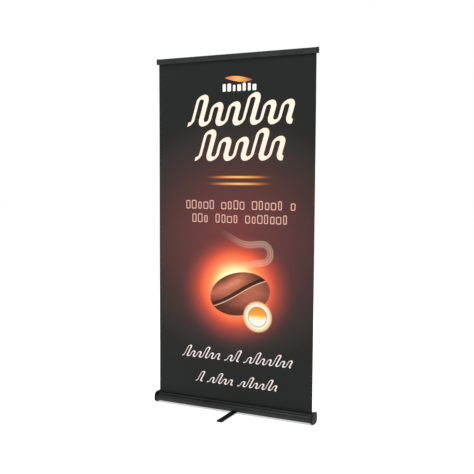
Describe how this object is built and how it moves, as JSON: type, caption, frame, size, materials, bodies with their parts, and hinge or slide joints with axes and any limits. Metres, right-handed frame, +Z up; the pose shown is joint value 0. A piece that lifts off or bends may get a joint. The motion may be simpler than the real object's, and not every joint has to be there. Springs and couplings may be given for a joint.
{
  "type": "roll-up banner stand",
  "caption": "Free-standing display stand whose printed film pulls up out of a spring cassette and hangs from a clamp rail on a folding pole, steadied by a swivel foot.",
  "frame": {"origin": "on the floor, under the middle of the banner film, which hangs in the plane y = 0", "axes": "+X along the banner's width, +Y towards the back, where the pole stands, +Z up"},
  "size_m": [1.034, 0.426, 2.091],
  "materials": {
    "anodised": "satin",
    "cap_plastic": "matte",
    "black_screw": "satin",
    "steel": "satin",
    "nylon": "satin",
    "rubber": "matte",
    "printed_film": "satin",
    "cord": "matte"
  },
  "bodies": {
    "cassette": {"cassette_housing": "anodised", "end_cap_left": "cap_plastic", "end_cap_right": "cap_plastic", "end_cap_screw_left_1": "black_screw", "end_cap_screw_left_2": "black_screw", "end_cap_screw_left_3": "black_screw", "end_cap_screw_right_1": "black_screw", "end_cap_screw_right_2": "black_screw", "end_cap_screw_right_3": "black_screw", "spring_spindle": "steel", "torsion_spring": "steel", "axle_pin": "steel", "pole_socket": "cap_plastic", "socket_screw_left": "black_screw", "socket_screw_right": "black_screw"},
    "foot": {"foot_bar": "anodised", "foot_hub_disc": "cap_plastic", "foot_tip_front": "cap_plastic", "foot_tip_rear": "cap_plastic", "foot_pad_front": "rubber", "foot_pad_rear": "rubber", "foot_pivot_bolt": "steel", "foot_pivot_nut": "steel"},
    "roller": {"roller_tube": "anodised", "roller_plug_left": "nylon", "roller_plug_right": "nylon", "axle_bush_left": "nylon", "axle_bush_right": "nylon", "spring_anchor_plug": "nylon", "banner_wrap": "printed_film"},
    "pole_lower": {"pole_lower": "anodised", "pole_foot_plug": "cap_plastic", "bungee_cord": "cord"},
    "pole_middle": {"pole_middle": "anodised", "pole_ferrule_lower": "steel"},
    "pole_upper": {"pole_upper": "anodised", "pole_ferrule_upper": "steel", "pole_hook": "cap_plastic"},
    "rail": {"rail_back": "anodised", "rail_end_cap_left": "cap_plastic", "rail_end_cap_right": "cap_plastic", "banner_sheet": "printed_film"},
    "jaw": {"rail_front_jaw": "anodised", "jaw_grip_strip": "rubber"}
  },
  "joints": [
    {"name": "foot_swivel", "type": "hinge", "parent": "cassette", "child": "foot", "pos_m": [0.02, 0, 0.0105], "axis": [0, 0, 1], "range_deg": [-90, 90]},
    {"name": "roller_spin", "type": "hinge", "parent": "cassette", "child": "roller", "pos_m": [0, -0.0148, 0.031], "axis": [1, 0, 0], "range_deg": [-6900, 320]},
    {"name": "pole_lift", "type": "slide", "parent": "cassette", "child": "pole_lower", "axis": [0, 0, 1], "range_m": [0, 0.033]},
    {"name": "pole_pull_middle", "type": "slide", "parent": "pole_lower", "child": "pole_middle", "axis": [0, 0, 1], "range_m": [0, 0.025]},
    {"name": "pole_pull_upper", "type": "slide", "parent": "pole_middle", "child": "pole_upper", "axis": [0, 0, 1], "range_m": [0, 0.025]},
    {"name": "banner_retract", "type": "slide", "parent": "pole_upper", "child": "rail", "axis": [0, 0, 1], "range_m": [-1.997, 0], "deforming": ["banner_sheet"]},
    {"name": "jaw_open", "type": "hinge", "parent": "rail", "child": "jaw", "pos_m": [0, -0.003, 2.0875], "axis": [-1, 0, 0], "range_deg": [0, 70]}
  ],
  "couplings": [
    {"joint": "roller_spin", "follows": "banner_retract", "rad_per_m": 60}
  ]
}
